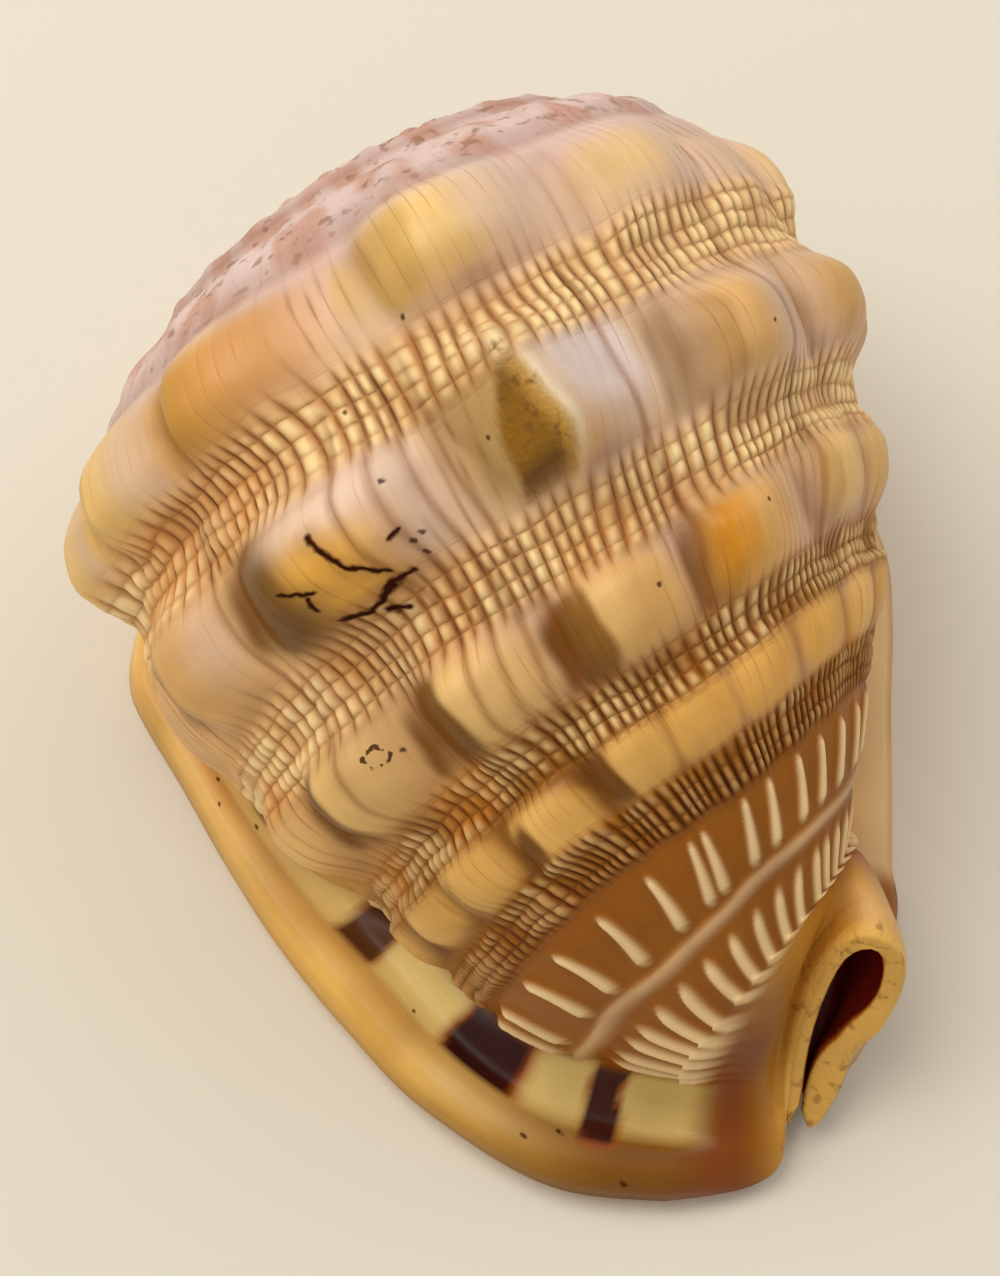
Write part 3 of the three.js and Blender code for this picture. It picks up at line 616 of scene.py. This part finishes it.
# A blotch: depth, half length, where it starts and ends across the lip, and how dark it is.
BLOTCHES = [(85, 3.2, 0.42, 1, 0.8), (104.6, 4.6, 0.44, 1.1, 1), (116.3, 1.5, 0.34, 1.1, 0.95),
            (66, 2.6, 0.55, 1.1, 0.5)]
one = np.ones_like(H)
s = share["lip_top"] * one
d = H + 0 * s
tint_lip = flat((232, 186, 110), s)
mottle = ripples(52, s * 22, d * 0.8, 13)
tint_lip = lay(tint_lip, (238, 204, 140), 0.55 * ease(mottle))
tint_lip = lay(tint_lip, (184, 132, 60), 0.4 * ease(-mottle))
tint_lip = lay(tint_lip, (190, 140, 72), 0.45 * ease((0.14 - s) / 0.1))
tint_lip = lay(tint_lip, (246, 218, 146), ease((s - 0.36) / 0.14))
tint_lip = lay(tint_lip, (186, 132, 70), 0.6 * hump(s - 0.42, 0.07, 0.06, 2))
tint_lip = lay(tint_lip, (112, 66, 8), 0.95 * ease((d - 98) / 22) * (1 - 0.6 * ease((s - 0.4) / 0.2)))
for at, half, near, far, dark in BLOTCHES:
    spot = hump(d - at - 0.5 * ripples(51, s * 18, d * 0.2, 9), half, half, 6)
    spot = spot * ease((s - near) / 0.07) * ease((far - s) / 0.1)
    tint_lip = lay(tint_lip, (150, 70, 20), dark * np.minimum(1, 1.6 * spot))
    tint_lip = lay(tint_lip, (52, 18, 8), dark * ease((spot - 0.45) / 0.4))
tint_lip = (tint_lip + (tint[:, :1] - tint_lip) * ease((s - 0.9) / 0.1)[..., None]
            * ease((112 - d) / 4)[..., None])

s = share["lip_under"] * one
tint_under = flat((214, 160, 108), s)
tint_under = lay(tint_under, (168, 82, 42), ease((0.34 - s) / 0.2))
tint_under = lay(tint_under, TOOTH_TINT, ease((0.42 - s) / 0.1) * ease(tooth - 0.5))
tint_under = tint_under + (tint_lip[:, :1] - tint_under) * ease((s - 0.8) / 0.2)[..., None]

s = share["shield_top"] * one
tint_shield = flat((216, 168, 112), s)
# Painted shade in the crease where the shield meets the body.
tint_shield = lay(tint_shield, (128, 84, 46), hump(s - 0.2, 0.14, 0.16, 2))
tint_shield = lay(tint_shield, (226, 190, 140), ease((s - 0.5) / 0.3))

s = share["shield_under"] * one
tint_sole = flat((212, 142, 92), s)
tint_sole = lay(tint_sole, (226, 180, 128), ease((0.2 - s) / 0.2))
tint_sole = lay(tint_sole, (164, 78, 40), ease((s - 0.68) / 0.2))
tint_sole = lay(tint_sole, TOOTH_TINT, ease((s - 0.7) / 0.08) * ease(tooth - 0.5))

tint_inside = flat((142, 62, 34), share["chamber"] * one)

tints = [tint_under, tint_lip, tint, tint_shield, tint_sole, tint_inside]
colour = np.concatenate([t[:, :-1] for t in tints], axis=1)
# The spire, all round: lilac and brown patches, with painted shade in a darker line along the sunk suture.
turns = np.concatenate([under_at[name][:-1] for name in spans])[None, :]
_, phase = spire_relief(ease(turns), R + 0 * turns)
all_round = ease((25 - H) / 6) + 0 * turns
patches = ease(0.2 + 0.9 * ripples(43, body[..., 0], body[..., 2], 8))
suture = hump(phase - np.floor(phase) - 0.93, 0.09, 0.06, 2)
colour = lay(colour, (220, 194, 186), all_round)
colour = lay(colour, (186, 114, 70), 0.5 * all_round * patches)
colour = lay(colour, (150, 104, 88), 0.5 * all_round * suture)
# The canal, paler to its worn rim; its bore dark red, partly its own colour and partly painted shade.
column = np.arange(across)
key = (canal_keys / RIM_KEY)[:, None]
outer = flat((196, 142, 70), column[None, :] + 0 * key)
over = (column - first) / spans["back"]
outer = lay(outer, (218, 172, 112), ease((over - 0.42) / 0.12) * ease((key - 0.45) / 0.3))
outer = lay(outer, (156, 84, 34), ease((over - 0.4) / 0.15) * ease((0.62 - key) / 0.3))
outer = lay(outer, (126, 66, 8), ease((0.4 - over) / 0.3) * ease((0.8 - key) / 0.5))
outer = lay(outer, (142, 90, 30), ease((over - 1.0) / 0.03) + 0 * key)
outer = lay(outer, (224, 180, 104), ease((key - 0.86) / 0.1) * (1 - 0.7 * ease((over - 1.0) / 0.02)))
bore = np.where((column >= bored)[None, :, None], 1.0, 0.0)
# The bore painted dark red, partly its own colour and partly painted shade deep in the canal, paler near the
# rim.
inner = flat((92, 24, 12), column[None, :] + 0 * key)
inner = lay(inner, (170, 90, 40), ease((key - 0.85) / 0.15) + 0 * over)
outer = outer * (1 - bore) + inner * bore
colour_end = colour[-1][None]
fade = ease(key / 0.25)[..., None]
outer = colour_end + (outer - colour_end) * fade
outer[:RUN_ON, on_back] = lay(outer[:RUN_ON, on_back], RIB_TINT, 0.95 * ease((tail - 0.2) / 0.75))
rim_colour = np.broadcast_to(srgb(214, 168, 94), (2, across, 3))
colour = np.concatenate([colour[:1], colour, outer, rim_colour])
# All colours a little deeper, the front more than the rest.
grey = (colour @ np.array([0.21, 0.72, 0.07]))[..., None]
row_depths = np.concatenate([[0], depths, np.full(rings_n - rows_n, 130)])
deepen = 1.04 + 0.07 * ease((row_depths - 60) / 32)
colour = np.clip(grey + (colour - grey) * deepen[:, None, None], 0.003, 1)
colour = np.concatenate([colour, colour[:, :1]], axis=1)

# Layers that the material reads: a value for the whole shell, and others on the back.
lined = (1 - band) * ends * ease((H - 14) / 6) * ease((97 - H) / 4)
layers = {}
for name, elsewhere, values in (
        ("rough", 0.0, rough_back), ("gloss", 0.34, gloss_back), ("riblet", 0.5, riblet),
        ("cords", 0.5, cord_phase), ("banded", 0.0, band * ends), ("lined", 0.0, lined)):
    layers[name] = np.full((rings_n + 1, across + 1), elsewhere)
    layers[name][1:rows_n + 1, on_back] = values[:, :-1]
WORN_RINGS = 9
layers["rough"][-WORN_RINGS:] = 0.7

# Surface measure for the fine marks, in units of 100 mm: round the whorl, and from apex to canal.
lip_u = lip_crease * ARC - (1 - share["lip_top"]) * 18
measure_u = [lip_u[:, :1] - (1 - share["lip_under"]) * 20, lip_u, arc,
             shield_crease * ARC + share["shield_top"] * 20]
measure_u += [measure_u[3][:, -1:] + share["shield_under"] * 50]
measure_u += [measure_u[4][:, -1:] + share["chamber"] * 160]
last = measure_u[5][:, -1:]
measure_u = np.concatenate([m[:, :-1] for m in measure_u] + [last], axis=1)
measure_u = np.concatenate([measure_u[:1], measure_u, np.repeat(measure_u[-1:], rings_n - rows_n, axis=0)])
measure_v = np.concatenate([[0], depths, BODY_END + 7 * canal_keys, [138.4, 138.8]])
measure = np.stack([measure_u, np.broadcast_to(measure_v[:, None], measure_u.shape)], axis=-1) / 100

mesh.vertices.foreach_set("co", places.ravel())
loops = np.empty(len(mesh.loops), np.int32)
mesh.loops.foreach_get("vertex_index", loops)
mesh.uv_layers[0].data.foreach_set("uv", measure.reshape(-1, 2)[loops].astype(np.float32).ravel())
rgba = np.concatenate([colour, np.ones(colour.shape[:2] + (1,))], axis=-1)
tint_layer = mesh.attributes.new("tint", "FLOAT_COLOR", "POINT")
tint_layer.data.foreach_set("color", rgba.astype(np.float32).ravel())
for name, values in layers.items():
    layer = mesh.attributes.new(name, "FLOAT", "POINT")
    layer.data.foreach_set("value", values.astype(np.float32).ravel())
mesh.update()
# Join the sides and the apex, close the wall's end at the canal rim, and turn all faces outward.
bpy.ops.object.mode_set(mode="EDIT")
bpy.ops.mesh.select_all(action="SELECT")
bpy.ops.mesh.remove_doubles(threshold=1e-7)
bpy.ops.mesh.select_all(action="DESELECT")
bpy.ops.mesh.select_mode(type="EDGE")
bpy.ops.mesh.select_non_manifold(
    use_wire=False, use_multi_face=False, use_non_contiguous=False, use_verts=False)
bpy.ops.mesh.fill()
bpy.ops.mesh.select_all(action="SELECT")
bpy.ops.mesh.normals_make_consistent(inside=False)
bpy.ops.object.mode_set(mode="OBJECT")
bpy.ops.object.shade_smooth()

# The material: the painted colours, dimmed by fine lines and grooves, with dirt and cracks on top.
material = bpy.data.materials.new("shell aragonite")
material.use_nodes = True
nodes = material.node_tree.nodes
links = material.node_tree.links
shader = nodes["Principled BSDF"]


def add(kind, inputs=(), **settings):
    """A node with its settings, and a value or a link for each input named."""
    node = nodes.new(kind)
    for k, v in settings.items():
        setattr(node, k, v)
    for k, v in dict(inputs).items():
        if isinstance(v, bpy.types.NodeSocket):
            links.new(v, node.inputs[k])
        else:
            node.inputs[k].default_value = v
    return node


def attribute(name):
    return add("ShaderNodeAttribute", attribute_name=name).outputs["Fac"]


def noise(vector, scale, detail, output="Fac"):
    return add("ShaderNodeTexNoise", {"Vector": vector, "Scale": scale, "Detail": detail}).outputs[output]


def maths(operation, *values, **settings):
    return add("ShaderNodeMath", dict(enumerate(values)), operation=operation, **settings).outputs[0]


def times(a, b):
    return maths("MULTIPLY", a, b)


def larger(a, b):
    return maths("MAXIMUM", a, b)


def vectors(operation, *values, output="Vector"):
    return add("ShaderNodeVectorMath", dict(enumerate(values)), operation=operation).outputs[output]


def scaled(vector, by):
    return add("ShaderNodeVectorMath", {0: vector, "Scale": by}, operation="SCALE").outputs[0]


def ranged(value, *limits):
    """A value moved from the span of the first two limits to that of the last two."""
    return add("ShaderNodeMapRange", dict(enumerate((value, *limits)))).outputs[0]


def mixed(amount, under, over):
    return add("ShaderNodeMix", {0: amount, 6: under, 7: over}, data_type="RGBA").outputs[2]


uv = add("ShaderNodeUVMap", uv_map=mesh.uv_layers[0].name).outputs[0]
place = add("ShaderNodeTexCoord").outputs["Object"]
tint_in = add("ShaderNodeAttribute", attribute_name="tint").outputs["Color"]
rough_in = attribute("rough")
gloss_in = attribute("gloss")
# Fine growth lines: noise drawn out along the lip's edge, so it changes fast only round the whorl.
drawn = add("ShaderNodeMapping", {"Vector": uv, "Scale": (380, 9, 1)}).outputs[0]
growth_lines = noise(drawn, 1, 3)
grain = noise(place, 900, 2)
cloud = noise(place, 90, 3)
shade = times(ranged(growth_lines, 0.25, 0.75, 0.95, 1.04), ranged(cloud, 0.3, 0.7, 0.90, 1.08))
painted = scaled(tint_in, shade)
# Beads: narrow grooves round each riblet and each cord, drawn from their counts along the surface.
count_in = attribute("riblet")
cords_in = attribute("cords")
banded_in = attribute("banded")
lined_in = attribute("lined")


def groove_of(count, power):
    """A groove at every whole count, narrower with a higher power."""
    part = maths("MULTIPLY_ADD", maths("FRACT", count), 2, -1)
    return maths("POWER", maths("ABSOLUTE", part), power)


worn = ranged(cloud, 0.3, 0.7, 0.35, 1)
between_cords = times(groove_of(cords_in, 5), times(worn, 0.6))
cut_in = times(larger(groove_of(count_in, 6), between_cords), banded_in)
line_in = times(times(groove_of(count_in, 12), lined_in), ranged(cloud, 0.45, 0.65, 0.04, 0.5))
dim = mixed(larger(cut_in, line_in), (1.06, 1.05, 1.03, 1), (0.78, 0.55, 0.35, 1))
painted = vectors("MULTIPLY", painted, dim)
# Cracks, a bored hole and specks of dirt: distances in the surface measure, frayed by noise.
fray = vectors("SUBTRACT", noise(place, 420, 2, "Color"), (0.5, 0.5, 0.5))
frayed = vectors("MULTIPLY_ADD", fray, (0.014, 0.014, 0), uv)


def measured(angle, depth):
    return (angle * DEG * (ARC / 100), depth / 100, 0)


def nearest(a, b):
    return b if a is None else maths("MINIMUM", a, b)


def from_place(at):
    return vectors("DISTANCE", frayed, measured(*at), output="Value")


def from_segment(a, b):
    """Distance from the straight line between two places on the surface."""
    a, b = np.array(measured(*a)), np.array(measured(*b))
    to = vectors("SUBTRACT", frayed, a)
    dot = vectors("DOT_PRODUCT", to, (b - a) / np.dot(b - a, b - a), output="Value")
    along_it = maths("ADD", dot, 0, use_clamp=True)
    return vectors("DISTANCE", to, scaled(b - a, along_it), output="Value")


# Places by angle and depth: cracks as broken lines, specks as points.
CRACKS = [[(51.8, 52.4), (52.4, 55.7), (53.5, 57.9), (55.9, 60.1)],
          [(45.8, 61.2), (48.9, 62), (51.4, 62), (54.6, 61.2), (57.7, 61.2)],
          [(44.1, 55.7), (46, 56.8), (47.9, 57.9)], [(46.6, 57.9), (45.9, 59)], [(50.7, 63.1), (53.1, 64.2)],
          [(60, 57), (58.5, 57.6)]]
SPECKS = [(72.8, 35), (59.4, 40.9), (61.4, 51.3), (107.9, 76.6), (86.1, 78.4), (117.7, 57.9), (75.3, 53.5),
          (38.6, 76.6), (60.4, 59), (60.9, 60.3), (62, 58.6), (-46, 58), (-49, 61), (-43, 66),
          (-38, 96), (-40, 111), (-36, 113.5), (-33, 117), (-41, 119)]
BORED_HOLE = (35.6, 75.7)
HOLE_RADIUS = 0.012
crack = None
for line in CRACKS:
    for a, b in zip(line, line[1:]):
        crack = nearest(crack, from_segment(a, b))
dirt = times(ranged(crack, 0.003, 0.02, 0.5, 0), cloud)
crack = ranged(crack, 0.0015, 0.0048, 1, 0)
speck = None
for at in SPECKS:
    speck = nearest(speck, from_place(at))
speck = ranged(speck, 0.002, 0.0045, 0.85, 0)
hole_edge = maths("COMPARE", from_place(BORED_HOLE), HOLE_RADIUS, 0.0022)
hole_edge = times(hole_edge, ranged(grain, 0.5, 0.56, 0, 0.9))
marks = larger(larger(crack, speck), hole_edge)
pitted = times(ranged(noise(place, 480, 2), 0.58, 0.68, 0, 0.7), rough_in)
soiled = mixed(larger(dirt, pitted), painted, (0.2, 0.075, 0.014, 1))
marked = mixed(marks, soiled, (0.045, 0.009, 0.003, 1))
links.new(marked, shader.inputs["Base Color"])
shine = maths("MULTIPLY_ADD", marks, -0.2, 0.22)
links.new(shine, shader.inputs["Specular IOR Level"])
links.new(gloss_in, shader.inputs["Roughness"])
# Fine relief: growth lines, pits where the surface is rough, and a rounded top for each bead.
fine_high = maths("MULTIPLY_ADD", growth_lines, 0.07, times(grain, rough_in))
over_riblet = maths("SUBTRACT", 1, groove_of(count_in, 2.4))
over_cord = maths("SUBTRACT", 1, times(groove_of(cords_in, 3), times(worn, 0.8)))
pillow = times(times(over_riblet, over_cord), banded_in)
pillow = maths("SUBTRACT", pillow, times(line_in, 0.25))
all_high = maths("MULTIPLY_ADD", fine_high, 0.5, pillow)
bump = add("ShaderNodeBump", {"Strength": 1.0, "Distance": 0.0007, "Height": all_high}).outputs[0]
links.new(bump, shader.inputs["Normal"])
mesh.materials.append(material)
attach(shell, "root")
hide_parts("shell")

# The floor: a plain pale sheet of paper, lit softly.
bpy.ops.object.select_all(action="DESELECT")
bpy.ops.mesh.primitive_plane_add(size=4)
floor = bpy.context.object
floor.name = "Floor"
paper = bpy.data.materials.new("floor paper")
paper.use_nodes = True
paper_shader = paper.node_tree.nodes["Principled BSDF"]
paper_shader.inputs["Base Color"].default_value = (*srgb(232, 224, 206), 1)
paper_shader.inputs["Roughness"].default_value = 0.9
floor.data.materials.append(paper)

# Light and camera: a broad warm light from the upper left of the picture, a weak cool one from the
# upper right, and the camera high above the canal end.
scene = bpy.context.scene
scene.view_settings.view_transform = "Standard"
world = bpy.data.worlds.new("soft room")
scene.world = world
world.use_nodes = True
sky = world.node_tree.nodes["Background"]
sky.inputs["Color"].default_value = (1.0, 0.965, 0.92, 1)
sky.inputs["Strength"].default_value = 0.49
for name, where, size, power, tone in (
        ("Key", (-0.22, 0.32, 0.8), 0.6, 4.2, (1.0, 0.97, 0.92)),
        ("Fill", (0.5, 0.1, 0.7), 0.5, 1.1, (0.9, 0.93, 1.0))):
    bpy.ops.object.light_add(type="AREA", location=where)
    lamp = bpy.context.object
    lamp.name = name
    lamp.data.size = size
    lamp.data.energy = power
    lamp.data.color = tone
    aim = -lamp.location.normalized()
    lamp.rotation_euler = aim.to_track_quat("-Z", "Y").to_euler()
bpy.ops.object.camera_add(
    location=(-0.066348, -0.097397, 0.358057), rotation=(20 * DEG, 0, -29 * DEG))
camera = bpy.context.object
camera.data.lens = 70.02
camera.data.sensor_width = 36
camera.data.clip_start = 0.01
scene.camera = camera
